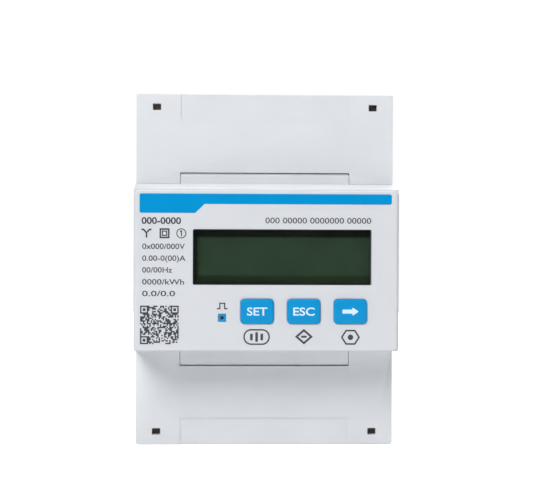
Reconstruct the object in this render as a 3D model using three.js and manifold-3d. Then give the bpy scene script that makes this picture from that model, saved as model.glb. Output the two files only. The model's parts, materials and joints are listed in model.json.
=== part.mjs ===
// Three-phase DIN-rail electricity meter, four modules wide, as an assembly of separate pieces.
// Frame: millimetres, +Z up, the front faces -Y, origin at the centre of the seat that rests on the 35 mm rail.
import * as THREE from "three";
import { mergeVertices } from "three/addons/utils/BufferGeometryUtils.js";
import Module from "manifold-3d";

const wasm = await Module();
wasm.setup();
const { Manifold, Mesh: SolidMesh } = wasm;

// ---------------------------------------------------------------- driving dimensions
const HALF_W = 36; // four 18 mm modules
const HALF_H = 49; // overall height 98
const Y_REAR = 6; // rear feet
const Y_SEAT = 0; // rail seat
const Y_PART = -10; // joint between base and main housing
const Y_LEDGE = -25.7; // ledge that the covers' end walls stop above
const Y_DECK = -36; // terminal deck under the covers
const Y_COVER = -42.5; // outer face of the terminal covers
const Y_PANEL_BACK = -57.5;
const Y_FRONT = -59.5; // face of the front panel
const NOSE_BASE = 24; // top of the raised middle where it leaves the covers
const NOSE_BASE_LOW = 22.9; // its bottom there
const NOSE_FRONT = 21.85; // half height of the raised middle at its face
const WALL = 2;
const GAP = 0.3;
const SEAM = 0.15;
const NOSE_SLOPE = (NOSE_BASE - NOSE_FRONT) / (Y_COVER - Y_FRONT);
const noseZ = (y) => NOSE_BASE - NOSE_SLOPE * Math.max(0, Y_COVER - y);
const NOSE_SLOPE_LOW = (NOSE_BASE_LOW - NOSE_FRONT) / (Y_COVER - Y_FRONT);
const noseLowZ = (y) => NOSE_BASE_LOW - NOSE_SLOPE_LOW * Math.max(0, Y_COVER - y);

const RAIL_HALF = 17.5; // 35 mm rail
const TERMINAL_X = [-27, -9, 9, 27]; // one terminal in each module
const TERMINAL_Z = 39.4;
const CAGE = { halfX: 5.8, halfZ: 5.5, front: -27, back: -12.1, wall: 1.5, top: 2.5, halfWindow: 4.3 };
const BUSBAR = { halfX: 3, front: -23.2, back: -21.2, halfZ: 43.6 };
const SCREW = { headR: 3.7, headTop: -35.4, headBottom: -32.9, shankR: 2.4, tip: -23.5 };
const ENTRY = { half: 4.3, y: -17.4 };
const HINGE = { y: -41.1, z: 25.6, pinR: 0.6, holeR: 0.7 };
const TAB = { halfX: 23.6, z: 26.6 };
const EAR = { top: 24.15, bottom: 23.05, sweepTop: 2.12, sweepBottom: 3.02 }; // inner edges of the covers' ears
const COVER_THICK = 2;
const SEAL = { x: 30.3, z: 45.5, halfX: 1.16, halfZ: 0.92 };
const WINDOW = { x0: -20.0, x1: 28.5, z0: -3.9, z1: 11.2 };
const BUTTON = { x: [-2.56, 10.1, 22.76], z: -11.0, halfX: 4.53, halfZ: 3.36, r: 1.1, proud: 0.7 };
const LED = { x: -12.04, z: -12.76, half: 1.0 };
const HOUSING_SCREW = { x: 31, z: 28.2 };
const CT = { outerR: 6.7, innerR: 3.7, halfZ: 4.5 };
const LATCH = { halfX: 7, y0: 1.3, y1: 4.4, ribY: 5.6, bottom: -48.8 };
const SIGNAL = { halfX: 10.3, z0: 27.3, z1: 32.7, front: -40.1, back: -30, x: [-7.5, -2.5, 2.5, 7.5] };

// ---------------------------------------------------------------- shape helpers
function solid(geometry) {
  const g = geometry.clone();
  for (const name of Object.keys(g.attributes)) if (name !== "position") g.deleteAttribute(name);
  const merged = mergeVertices(g, 1e-4);
  const index = merged.index.array;
  const keep = [];
  for (let i = 0; i < index.length; i += 3) {
    const [a, b, c] = [index[i], index[i + 1], index[i + 2]];
    if (a !== b && b !== c && a !== c) keep.push(a, b, c);
  }
  const make = (t) =>
    new Manifold(
      new SolidMesh({ numProp: 3, vertProperties: new Float32Array(merged.attributes.position.array), triVerts: new Uint32Array(t) }),
    );
  const made = make(keep);
  if (made.volume() >= 0) return made;
  const turned = [];
  for (let i = 0; i < keep.length; i += 3) turned.push(keep[i], keep[i + 2], keep[i + 1]);
  return make(turned);
}

const box = (x0, x1, y0, y1, z0, z1) =>
  solid(new THREE.BoxGeometry(x1 - x0, y1 - y0, z1 - z0).translate((x0 + x1) / 2, (y0 + y1) / 2, (z0 + z1) / 2));

// A closed outline in (x, z), carried from y0 to y1.
function prismXZ(points, y0, y1) {
  const shape = new THREE.Shape(points.map(([x, z]) => new THREE.Vector2(x, z)));
  const g = new THREE.ExtrudeGeometry(shape, { depth: y1 - y0, bevelEnabled: false });
  g.rotateX(Math.PI / 2);
  g.translate(0, y1, 0);
  return solid(g);
}

// A closed outline in (y, z), carried from x0 to x1.
function prismYZ(points, x0, x1) {
  const shape = new THREE.Shape(points.map(([y, z]) => new THREE.Vector2(y, z)));
  const g = new THREE.ExtrudeGeometry(shape, { depth: x1 - x0, bevelEnabled: false });
  g.applyMatrix4(
    new THREE.Matrix4().makeBasis(new THREE.Vector3(0, 1, 0), new THREE.Vector3(0, 0, 1), new THREE.Vector3(1, 0, 0)),
  );
  g.translate(x0, 0, 0);
  return solid(g);
}

function roundRect(x0, x1, z0, z1, r, n = 4) {
  const points = [];
  for (const [cx, cz, from] of [
    [x1 - r, z1 - r, 0],
    [x0 + r, z1 - r, Math.PI / 2],
    [x0 + r, z0 + r, Math.PI],
    [x1 - r, z0 + r, 1.5 * Math.PI],
  ])
    for (let i = 0; i <= n; i++) {
      const a = from + (i / n) * (Math.PI / 2);
      points.push([cx + r * Math.cos(a), cz + r * Math.sin(a)]);
    }
  return points;
}

// Convex outlines of equal length, each {points, y}, skinned into one closed solid.
function loft(layers, place = ([x, z], y) => [x, y, z]) {
  const n = layers[0].points.length;
  const v = layers.flatMap((l) => l.points.flatMap((p) => place(p, l.y)));
  const t = [];
  for (let k = 0; k + 1 < layers.length; k++)
    for (let i = 0; i < n; i++) {
      const a = k * n + i,
        b = k * n + ((i + 1) % n),
        c = a + n,
        d = b + n;
      t.push(a, b, d, a, d, c);
    }
  const last = (layers.length - 1) * n;
  for (let i = 1; i + 1 < n; i++) t.push(0, i + 1, i, last, last + i, last + i + 1);
  const g = new THREE.BufferGeometry();
  g.setAttribute("position", new THREE.BufferAttribute(new Float32Array(v), 3));
  g.setIndex(t);
  return solid(g);
}

const cylY = (r, y0, y1, x = 0, z = 0, n = 24) =>
  solid(new THREE.CylinderGeometry(r, r, y1 - y0, n).translate(x, (y0 + y1) / 2, z));
const cylX = (r, x0, x1, y = 0, z = 0, n = 24) =>
  solid(
    new THREE.CylinderGeometry(r, r, x1 - x0, n)
      .rotateY(Math.PI / n)
      .rotateZ(Math.PI / 2)
      .translate((x0 + x1) / 2, y, z),
  );
// A profile of [radius, y] pairs turned about the Y axis.
const turned = (profile, n = 24) => solid(new THREE.LatheGeometry(profile.map(([r, y]) => new THREE.Vector2(r, y)), n));
const both = (make) => Manifold.union([make(1), make(-1)]);
const sided = (s, a, b) => (s > 0 ? [a, b] : [-b, -a]);

// ---------------------------------------------------------------- materials
const paint = (color, roughness, metalness = 0, extra = {}) =>
  new THREE.MeshStandardMaterial({ color, roughness, metalness, ...extra });
const look = {
  shell: paint(0xdfe2e6, 0.5),
  block: paint(0xcfd2d6, 0.6),
  blue: paint(0x0a93d8, 0.3),
  latch: paint(0xc9ccd0, 0.55),
  clear: paint(0xe8efe8, 0.05, 0, { transparent: true, opacity: 0.35 }),
  lcd: paint(0x33452f, 0.2),
  frame: paint(0x20232a, 0.6),
  diffuser: paint(0xf2f4f0, 0.5),
  led: paint(0x6b1414, 0.2),
  pipe: paint(0x1f6f9f, 0.2),
  board: paint(0x1f6b3a, 0.6),
  ferrite: paint(0x2b2d31, 0.7),
  sleeve: paint(0x20242c, 0.4),
  connector: paint(0x1b1b1d, 0.6),
  coil: paint(0x2a4d8f, 0.6),
  copper: paint(0xb87042, 0.35, 1),
  brass: paint(0xc9a95a, 0.35, 1),
  steel: paint(0xc4c7cc, 0.35, 1),
  plunger: paint(0x2b2b2d, 0.5),
  signal: paint(0x2f8f57, 0.55),
};

const meter = new THREE.Group();
const upper = new THREE.Group(); // what repeats above and below the middle
const lower = new THREE.Group();
lower.rotation.y = Math.PI; // the lower side is the upper one turned half round
meter.add(upper, lower);

function put(name, shape, material, parent = meter, at = [0, 0, 0]) {
  const m = shape.getMesh();
  const v = new Float32Array(m.numVert * 3);
  for (let i = 0; i < m.numVert; i++) v.set(m.vertProperties.subarray(i * m.numProp, i * m.numProp + 3), i * 3);
  let g = new THREE.BufferGeometry();
  g.setAttribute("position", new THREE.BufferAttribute(v, 3));
  g.setIndex(new THREE.BufferAttribute(new Uint32Array(m.triVerts), 1));
  g = g.toNonIndexed();
  g.computeVertexNormals();
  const mesh = new THREE.Mesh(g, material);
  mesh.name = name;
  mesh.position.set(...at);
  parent.add(mesh);
  return mesh;
}

// ---------------------------------------------------------------- base housing: the rear tray with the rail channel
function baseHousing() {
  const front = Y_PART + SEAM;
  let s = prismXZ(roundRect(-HALF_W, HALF_W, -HALF_H, HALF_H, 1.2, 3), front, Y_REAR);
  // cavity, deep behind the terminals and shallow over the rail
  s = s.subtract(box(-34, 34, front - 1, -2.4, -47, 47));
  s = s.subtract(both((k) => box(-34, 34, front - 1, 4, ...sided(k, 20, 47))));
  // rail channel, right through from side to side, with a raised seat
  s = s.subtract(box(-40, 40, Y_SEAT - 0.4, Y_REAR + 1, -18, 17.8));
  s = s.add(box(-HALF_W, HALF_W, -1, Y_SEAT, -15.5, 15.5));
  // fixed hook above the rail
  s = s.add(
    prismYZ(
      [
        [1.3, 18.2],
        [1.3, 16.4],
        [2.4, 16.4],
        [3.9, 17.9],
        [3.9, 18.2],
      ],
      -HALF_W,
      HALF_W,
    ),
  );
  // solid island and groove for the sliding latch
  s = s.add(box(-9.6, 9.6, -1.4, 5, -47.5, -19.5));
  s = s.subtract(box(-7.3, 7.3, 1, Y_REAR + 1, -HALF_H - 1, -17.4));
  s = s.add(both((k) => box(...sided(k, 5.5, 7.6), 4.7, Y_REAR, -47, -22)));
  s = s.add(box(-2.1, 2.1, 0.5, 4.5, -37.4, -35.5));
  // screw towers, open to the rear
  for (const kx of [1, -1])
    for (const kz of [1, -1]) {
      const x = kx * HOUSING_SCREW.x,
        z = kz * HOUSING_SCREW.z;
      s = s.add(box(...(kx > 0 ? [x - 3.8, 34.5] : [-34.5, x + 3.8]), front, 5, z - 3.8, z + 3.8));
      s = s.subtract(cylY(1.6, front - 1, 3, x, z, 12));
      s = s.subtract(cylY(3.1, 1.5, Y_REAR + 1, x, z, 16));
    }
  // shallow moulded pockets in the two feet
  s = s.subtract(both((k) => box(-22, 22, 5.2, Y_REAR + 1, ...(k > 0 ? [27, 43] : [100, 101]))));
  for (const k of [1, -1]) s = s.subtract(box(...sided(k, 12, 24), 5.2, Y_REAR + 1, -43, -27));
  return s;
}

// ---------------------------------------------------------------- main housing: side walls, raised middle and the two hinge lands
function mainHousing() {
  const half = (base, notch, tip) => [
    [Y_PART, HALF_H],
    [Y_LEDGE, HALF_H],
    [Y_LEDGE, HALF_H - WALL - GAP],
    [-40.2, HALF_H - WALL - GAP],
    [-40.2, 27.6],
    [notch, 27.6],
    [notch, base],
    [Y_COVER, base],
    [Y_PANEL_BACK + GAP, tip],
  ];
  const top = half(NOSE_BASE, -39.4, noseZ(Y_PANEL_BACK + GAP));
  const bottom = half(NOSE_BASE_LOW, -38.2, noseLowZ(Y_PANEL_BACK + GAP));
  let s = prismYZ([...top, ...bottom.map(([y, z]) => [y, -z]).reverse()], -HALF_W, HALF_W);
  s = s.subtract(both((k) => box(-34, 34, -45, -5, ...sided(k, NOSE_BASE, 55))));
  s = s.subtract(
    prismYZ(
      [
        [-5, NOSE_BASE - WALL],
        [Y_COVER, NOSE_BASE - WALL],
        [-60, noseZ(-60) - WALL],
        [-60, WALL - noseLowZ(-60)],
        [Y_COVER, WALL - NOSE_BASE_LOW],
        [-36, WALL - NOSE_BASE_LOW],
        [-35, WALL - NOSE_BASE],
        [-5, WALL - NOSE_BASE],
      ],
      -34,
      34,
    ),
  );
  // hollows that the inner edges of the covers' ears swing through
  for (const kx of [1, -1]) {
    s = s.subtract(cylX(EAR.sweepTop, ...sided(kx, TAB.halfX, HALF_W + 1), HINGE.y, HINGE.z, 32).intersect(box(-40, 40, -42.45, -30, 20, 25.2)));
    s = s.subtract(cylX(EAR.sweepBottom, ...sided(kx, TAB.halfX, HALF_W + 1), HINGE.y, -HINGE.z, 32).intersect(box(-40, 40, -42.45, -30, -25.2, -20)));
  }
  // hinge lands between the covers' ears, each with a lip under the cover's edge
  s = s.add(
    both((k) => {
      const land = [
        [Y_DECK - GAP, NOSE_BASE_LOW - 0.5],
        [Y_DECK - GAP, TAB.z],
        [Y_COVER + 0.3, TAB.z],
        [Y_COVER, TAB.z - 0.3],
        [Y_COVER, NOSE_BASE_LOW - 0.5],
      ].map(([y, z]) => [y, k * z]);
      return prismYZ(land, -TAB.halfX, TAB.halfX);
    }),
  );
  for (const kx of [1, -1]) s = s.add(both((k) => box(...sided(kx, 10.9, TAB.halfX - 0.4), -40.1, -38, ...sided(k, TAB.z - 0.5, 28.4))));
  s = s.add(box(-11, 11, -40.1, -38, TAB.z - 0.5, 28.4));
  for (const kx of [1, -1])
    for (const kz of [1, -1])
      s = s.subtract(cylX(HINGE.holeR, ...sided(kx, 20.6, 24.5), HINGE.y, kz * HINGE.z, 12));
  // ledges that carry the two boards
  s = s.add(both((k) => box(...sided(k, 32.3, 34.5), -32.2, -30.7, -19, 19)));
  s = s.add(both((k) => box(...sided(k, 32.3, 34.5), -48.4, -46.9, -18, 18)));
  // bosses for the four housing screws
  for (const kx of [1, -1])
    for (const kz of [1, -1]) {
      const z = kz * HOUSING_SCREW.z;
      s = s.add(box(...sided(kx, 28.1, 34.5), -20.6, Y_PART, z - 2.7, z + 2.7));
      s = s.subtract(cylY(1.5, -19.2, Y_PART + 1, kx * HOUSING_SCREW.x, z, 12));
    }
  // slots that the busbars pass through
  for (const x of TERMINAL_X) s = s.subtract(both((k) => box(x - 3.5, x + 3.5, -23.7, -20.7, ...sided(k, 21, 25))));
  return s;
}

// ---------------------------------------------------------------- terminal block: chambers, wire entries and the deck
function terminalBlock(withSignal) {
  let s = box(-33.7, 33.7, Y_DECK, Y_PART - GAP, 24.3, HALF_H - WALL - GAP);
  s = s.add(box(-33.7, 33.7, Y_LEDGE, Y_PART - GAP, 24.3, HALF_H));
  for (const x of TERMINAL_X) {
    s = s.subtract(box(x - 6.1, x + 6.1, -34, -11.8, 33.6, 45.2));
    const mouth = (grow) => roundRect(x - ENTRY.half - grow, x + ENTRY.half + grow, ENTRY.y - ENTRY.half + 0.1 - grow, ENTRY.y + ENTRY.half - 0.1 + grow, 2 + grow, 3);
    s = s.subtract(
      loft(
        [
          { points: mouth(0), y: 45 },
          { points: mouth(0), y: 48 },
          { points: mouth(1), y: 49.02 },
          { points: mouth(1), y: 50 },
        ],
        ([a, b], z) => [a, b, z],
      ),
    );
    s = s.subtract(cylY(4.1, Y_DECK + 0.3, -33, x, TERMINAL_Z, 16));
    s = s.subtract(cylY(3.2, Y_DECK - 1, -33, x, TERMINAL_Z, 16));
    s = s.subtract(box(x - 3.3, x + 3.3, -23.5, -20.9, 24, 34));
  }
  for (const x of [-9, 9]) s = s.subtract(box(x - 6, x + 6, -19, -9, 25.8, 32.1));
  for (const k of [1, -1]) {
    s = s.subtract(box(...sided(k, 27.8, 40), -20.9, -9, 24, 31.2));
    s = s.subtract(box(...sided(k, 17, 26.3), -19, -9, 25.8, 32.1));
    // seal pillar with its socket
    s = s.add(box(...sided(k, 28.2, 32.4), -40.1, Y_DECK + 0.5, 43.8, 46.7));
    s = s.subtract(box(...sided(k, SEAL.x - SEAL.halfX, SEAL.x + SEAL.halfX), -41, -34.8, 44.58, 46.3));
    s = s.add(box(k * 18 - 0.6, k * 18 + 0.6, -39.8, Y_DECK + 0.5, 34, 46.6));
  }
  s = s.add(box(-0.6, 0.6, -39.8, Y_DECK + 0.5, 34, 46.6));
  if (withSignal) s = s.subtract(box(-SIGNAL.halfX - GAP, SIGNAL.halfX + GAP, -37, SIGNAL.back + GAP, 27, 33));
  return s;
}

// ---------------------------------------------------------------- terminal cover, drawn closed on the upper side
function terminalCover(ear, withSlot) {
  const inner = Y_COVER + COVER_THICK;
  let s = box(-HALF_W, HALF_W, Y_COVER, inner, TAB.z + 0.6, HALF_H);
  s = s.add(both((k) => box(...sided(k, TAB.halfX + GAP, HALF_W), Y_COVER, inner, ear, TAB.z + 1)));
  s = s.add(both((k) => cylX(HINGE.pinR, ...sided(k, 21.2, TAB.halfX + 1), HINGE.y, HINGE.z, 12)));
  // end wall, with a slot for the signal wires where they leave
  s = s.add(box(-HALF_W, HALF_W, Y_COVER, Y_LEDGE - GAP, HALF_H - WALL, HALF_H));
  if (withSlot) s = s.subtract(box(-SIGNAL.halfX, SIGNAL.halfX, inner, Y_DECK, HALF_H - WALL - 1, HALF_H + 1));
  // stiffening ribs
  s = s.add(both((k) => box(...sided(k, 12.4, 13.6), inner - 0.3, -39.6, 29, HALF_H - WALL + 0.3)));
  // seal holes and the shallow pull recess
  s = s.subtract(both((k) => box(...sided(k, SEAL.x - SEAL.halfX, SEAL.x + SEAL.halfX), Y_COVER - 1, inner + 1, SEAL.z - SEAL.halfZ, SEAL.z + SEAL.halfZ)));
  s = s.subtract(box(-TAB.halfX, TAB.halfX, Y_COVER - 1, Y_COVER + 0.25, 41.7, HALF_H + 1));
  return s;
}

// ---------------------------------------------------------------- front panel
function facePanel() {
  const outline = (inset, y) => roundRect(-HALF_W + inset, HALF_W - inset, -noseZ(y) + inset, noseZ(y) - inset, 1.2, 3);
  let s = loft([
    { points: outline(0.6, Y_FRONT), y: Y_FRONT },
    { points: outline(0.18, Y_FRONT + 0.18), y: Y_FRONT + 0.18 },
    { points: outline(0, Y_FRONT + 0.6), y: Y_FRONT + 0.6 },
    { points: outline(0, Y_PANEL_BACK), y: Y_PANEL_BACK },
  ]);
  // locating rim inside the nose walls
  s = s.add(
    prismXZ(roundRect(-33.7, 33.7, -19.9, 19.9, 0.6, 2), Y_PANEL_BACK - 0.5, -55.2).subtract(
      prismXZ(roundRect(-32.5, 32.5, -18.7, 18.7, 0.6, 2), Y_PANEL_BACK - 1, -54),
    ),
  );
  s = s.subtract(prismXZ(roundRect(WINDOW.x0, WINDOW.x1, WINDOW.z0, WINDOW.z1, 0.4, 2), Y_FRONT - 1, -54));
  for (const x of BUTTON.x)
    s = s.subtract(
      prismXZ(roundRect(x - BUTTON.halfX - 0.18, x + BUTTON.halfX + 0.18, BUTTON.z - BUTTON.halfZ - 0.18, BUTTON.z + BUTTON.halfZ + 0.18, BUTTON.r + 0.18, 4), Y_FRONT - 1, -54),
    );
  s = s.subtract(prismXZ(roundRect(LED.x - LED.half - 0.1, LED.x + LED.half + 0.1, LED.z - LED.half - 0.1, LED.z + LED.half + 0.1, 0.25, 2), Y_FRONT - 1, -54));
  return s;
}

// ---------------------------------------------------------------- push button, local origin at the middle of the panel's face
function button() {
  const o = (inset) => roundRect(-BUTTON.halfX + inset, BUTTON.halfX - inset, -BUTTON.halfZ + inset, BUTTON.halfZ - inset, Math.max(0.4, BUTTON.r - inset), 4);
  let s = loft([
    { points: o(0.5), y: -BUTTON.proud },
    { points: o(0.15), y: -BUTTON.proud + 0.15 },
    { points: o(0), y: -BUTTON.proud + 0.5 },
    { points: o(0), y: 2.4 },
  ]);
  s = s.add(prismXZ(roundRect(-BUTTON.halfX - 0.7, BUTTON.halfX + 0.7, -BUTTON.halfZ - 0.7, BUTTON.halfZ + 0.7, 1, 2), 2.3, 3.3));
  return s.add(cylY(1.5, 3.2, 4.3, 0, 0, 16));
}
const plunger = () => turned([[0, -1.9], [1.3, -1.9], [1.6, -1.6], [1.6, 0], [0, 0]], 12);

function displayBoard() {
  let s = box(-33.4, 33.4, -50.2, -48.6, -18.6, 18.6);
  for (const x of BUTTON.x) {
    s = s.add(box(x - 3, x + 3, -53.7, -50.1, BUTTON.z - 3, BUTTON.z + 3));
    s = s.subtract(cylY(1.9, -54, -52, x, BUTTON.z, 12));
  }
  for (const [x, z] of [[-29, 15], [29, 15], [-29, -15], [31, -16]]) s = s.subtract(cylY(1.1, -51, -48, x, z, 12));
  s = s.add(box(-24, -14, -48.7, -47.1, -4, 6)); // display driver
  s = s.add(box(2, 6, -48.7, -47.6, 1, 5));
  return s;
}

function meterBoard() {
  let s = box(-33.4, 33.4, -34, -32.4, -20.4, 20.4);
  for (const x of [-28, -20, -12]) s = s.add(cylX(4.2, x - 1.6, x + 1.6, -38, 13.5, 12)); // varistors
  for (const x of [-28, -20, -12]) s = s.add(box(x - 0.6, x + 0.6, -36, -33.9, 11, 16));
  s = s.add(box(8, 18, -35.6, -33.9, 4, 14)); // metering chip
  s = s.add(box(22, 28, -35.4, -33.9, 6, 14)); // processor
  s = s.add(box(22, 30, -36.6, -33.9, -1, 2)); // crystal
  s = s.add(box(-4, 4, -32.5, -31.2, -3, 3));
  return s;
}

function powerTransformer() {
  // E-core with its bobbin and winding
  let s = box(-29, -9, -45.5, -34.9, -16, -2);
  s = s.subtract(box(-25.6, -21.6, -45.8, -34, -17, -1)).subtract(box(-16.4, -12.4, -45.8, -34, -17, -1));
  s = s.add(box(-26, -12, -43.3, -37.2, -17.5, -0.5));
  return s.add(box(-25, -13, -37.3, -34.2, -17, -1));
}

function boardHeader() {
  let s = box(-8, 7, -36.8, -34.2, 17.2, 19.8).add(box(-8, 7, -48.4, -45.8, 17.2, 18.5));
  for (let i = 0; i < 5; i++) s = s.add(box(-6.9 + i * 2.54, -6.2 + i * 2.54, -46, -36.6, 17.5, 18.2));
  return s;
}

function currentTransformer() {
  const p = [];
  const { outerR: R, innerR: r, halfZ: h } = CT;
  for (const [a, b] of [[r, -h + 0.8], [r + 0.8, -h], [R - 0.8, -h], [R, -h + 0.8], [R, h - 0.8], [R - 0.8, h], [r + 0.8, h], [r, h - 0.8], [r, -h + 0.8]]) p.push(new THREE.Vector2(a, b));
  return solid(new THREE.LatheGeometry(p, 16).rotateX(Math.PI / 2));
}

function busbar() {
  const c = 0.8;
  const { halfX: x, halfZ: z } = BUSBAR;
  return prismXZ([[x - c, z], [-x + c, z], [-x, z - c], [-x, -z + c], [-x + c, -z], [x - c, -z], [x, -z + c], [x, z - c]], BUSBAR.front, BUSBAR.back);
}

// Rising clamp, local origin on the screw's axis at the middle of the cage.
function cage() {
  const c = CAGE;
  let s = prismXZ(roundRect(-c.halfX, c.halfX, -c.halfZ, c.halfZ, 0.4, 1), c.front, c.back);
  s = s.subtract(box(-c.halfWindow, c.halfWindow, c.front + c.top, c.back - c.wall, -10, 10));
  return s.subtract(cylY(2.7, c.front - 1, c.front + c.top + 1, 0, 0, 12));
}

function clampScrew() {
  const k = SCREW;
  let s = turned([[0, k.headTop], [k.headR - 0.5, k.headTop], [k.headR, k.headTop + 0.5], [k.headR, k.headBottom], [k.shankR, k.headBottom + 0.02], [k.shankR, k.tip - 0.7], [k.shankR - 0.7, k.tip], [0, k.tip]], 12);
  s = s.subtract(box(-2.6, 2.6, k.headTop - 1, k.headTop + 1.5, -0.6, 0.6));
  return s.subtract(box(-0.6, 0.6, k.headTop - 1, k.headTop + 1.5, -2.6, 2.6));
}

function signalBlock() {
  const g = SIGNAL;
  let s = box(-g.halfX, g.halfX, g.front, g.back, g.z0, g.z1);
  for (const x of g.x) {
    s = s.subtract(cylY(1.8, g.front - 1, g.front + 4.4, x, 29.6, 12));
    s = s.subtract(box(x - 1.6, x + 1.6, -39.3, -36.4, 31.1, g.z1 + 1));
  }
  return s;
}

function signalScrew() {
  let s = turned([[0, 0], [1.2, 0], [1.5, 0.3], [1.5, 1.6], [1.1, 1.62], [1.1, 3.2], [0, 3.2]], 10);
  return s.subtract(box(-2, 2, -1, 0.7, -0.25, 0.25));
}

function housingScrew() {
  let s = turned([[0, 3.9], [2.1, 3.9], [2.7, 3.3], [2.7, 1.8], [1.3, 1.78], [1.3, -17.4], [0.4, -18.8], [0, -18.8]], 12);
  s = s.subtract(box(-1.6, 1.6, 2.9, 5, -0.35, 0.35));
  return s.subtract(box(-0.35, 0.35, 2.9, 5, -1.6, 1.6));
}

// ---------------------------------------------------------------- rail latch and its spring
function dinLatch() {
  const l = LATCH;
  let s = prismYZ(
    [
      [l.y0, l.bottom],
      [l.y1, l.bottom],
      [l.y1, -18.4],
      [2.2, -16.3],
      [l.y0, -16.3],
    ],
    -l.halfX,
    l.halfX,
  );
  s = s.add(box(-5.2, 5.2, l.y1 - 0.3, l.ribY, l.bottom, -22));
  s = s.subtract(box(-2.5, 2.5, 0, 8, -37.7, -27.4));
  return s.subtract(box(-3.2, 3.2, 0, 8, -47.4, -45.2));
}

class Coil extends THREE.Curve {
  constructor(radius, length, turns) {
    super();
    Object.assign(this, { radius, length_: length, turns });
  }
  getPoint(t, target = new THREE.Vector3()) {
    const a = t * this.turns * 2 * Math.PI;
    return target.set(this.radius * Math.cos(a), this.radius * Math.sin(a), this.length_ * t);
  }
}
function latchSpring() {
  const section = new THREE.Shape(Array.from({ length: 5 }, (_, i) => new THREE.Vector2(0.26 * Math.cos(i * 0.4 * Math.PI), 0.26 * Math.sin(i * 0.4 * Math.PI))));
  return solid(new THREE.ExtrudeGeometry(section, { steps: 44, bevelEnabled: false, extrudePath: new Coil(1.45, 7, 5) }));
}

// ---------------------------------------------------------------- assembly
put("base_housing", baseHousing(), look.shell);
put("main_housing", mainHousing(), look.shell);
put("face_panel", facePanel(), look.shell);
put("upper_terminal_block", terminalBlock(false), look.block, upper);
put("lower_terminal_block", terminalBlock(true), look.block, lower);

const toHinge = [0, -HINGE.y, -HINGE.z];
put("top_terminal_cover", terminalCover(EAR.top, false).translate(toHinge), look.shell, upper, [0, HINGE.y, HINGE.z]);
put("bottom_terminal_cover", terminalCover(EAR.bottom, true).translate(toHinge), look.shell, lower, [0, HINGE.y, HINGE.z]);

put("din_latch", dinLatch(), look.latch);
put("latch_spring", latchSpring(), look.steel, meter, [0, 3.2, -35.0]);

["set", "escape", "scroll"].forEach((name, i) => {
  put(name + "_button", button(), look.blue, meter, [BUTTON.x[i], Y_FRONT, BUTTON.z]);
  put(name + "_switch_plunger", plunger(), look.plunger, meter, [BUTTON.x[i], -53.0, BUTTON.z]);
});

put("display_window", box(WINDOW.x0 - 1.3, WINDOW.x1 + 1.3, -57.2, -56.4, WINDOW.z0 - 1.3, WINDOW.z1 + 1.3), look.clear);
put("lcd_glass", box(WINDOW.x0 - 0.6, WINDOW.x1 + 0.6, -56.1, -53.5, WINDOW.z0 - 0.7, WINDOW.z1 + 0.7), look.lcd);
put("backlight_guide", box(WINDOW.x0 - 0.6, WINDOW.x1 + 0.6, -53.2, -50.7, WINDOW.z0 - 0.7, WINDOW.z1 + 0.7), look.diffuser);
put(
  "lcd_frame",
  box(WINDOW.x0 - 2.3, WINDOW.x1 + 2.3, -56.1, -50.5, WINDOW.z0 - 2.3, WINDOW.z1 + 2.3).subtract(
    box(WINDOW.x0 - 0.9, WINDOW.x1 + 0.9, -57, -50, WINDOW.z0 - 1, WINDOW.z1 + 1),
  ),
  look.frame,
);
put(
  "led_light_pipe",
  prismXZ(roundRect(-LED.half, LED.half, -LED.half, LED.half, 0.2, 2), Y_FRONT + 0.1, Y_PANEL_BACK + 0.5).add(
    prismXZ(roundRect(-1.8, 1.8, -1.8, 1.8, 0.4, 2), Y_PANEL_BACK + 0.3, Y_PANEL_BACK + 1.3),
  ),
  look.pipe,
  meter,
  [LED.x, 0, LED.z],
);
put("pulse_led", turned([[0, -55.7], [0.8, -55.4], [1.4, -54.6], [1.5, -53.8], [1.5, -51.4], [1.8, -51.4], [1.8, -50.5], [0, -50.5]], 12), look.led, meter, [LED.x, 0, LED.z]);
put("display_board", displayBoard(), look.board);
put("meter_board", meterBoard(), look.board);
put("power_transformer", powerTransformer(), look.ferrite);
put("supply_capacitor", turned([[0, -46.2], [4.4, -46.2], [4.9, -45.7], [4.9, -36.2], [4.6, -35.8], [4.9, -35.4], [4.9, -34.3], [0, -34.3]], 16), look.sleeve, meter, [12, 0, -9]);
put("board_link_header", boardHeader(), look.connector);

TERMINAL_X.forEach((x, i) => {
  const name = i < 3 ? `phase_busbar_${i + 1}` : "neutral_busbar";
  put(name, busbar(), look.copper, meter, [x, 0, 0]);
  if (i < 3) put(`current_transformer_${i + 1}`, currentTransformer(), look.coil, meter, [x, (BUSBAR.front + BUSBAR.back) / 2, 0]);
});
for (const [side, group] of [["upper", upper], ["lower", lower]])
  TERMINAL_X.forEach((x, i) => {
    const number = side === "upper" ? i + 1 : 4 - i; // numbered from the left on both sides
    put(`${side}_clamp_cage_${number}`, cage(), look.brass, group, [x, 0, TERMINAL_Z]);
    put(`${side}_clamp_screw_${number}`, clampScrew(), look.steel, group, [x, 0, TERMINAL_Z]);
  });

put("signal_terminal_block", signalBlock(), look.signal, lower);
SIGNAL.x.forEach((x, i) => put(`signal_screw_${4 - i}`, signalScrew(), look.steel, lower, [x, -39.2, 29.6]));

[[-1, 1], [1, 1], [-1, -1], [1, -1]].forEach(([kx, kz], i) =>
  put(`housing_screw_${i + 1}`, housingScrew(), look.steel, meter, [kx * HOUSING_SCREW.x, 0, kz * HOUSING_SCREW.z]),
);

export default meter;
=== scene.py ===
"""Looks of the electricity meter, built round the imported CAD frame. Metres, +Z up, front faces -Y."""
import json
import math
import random

import bmesh
import bpy
from mathutils import Matrix, Vector

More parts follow.
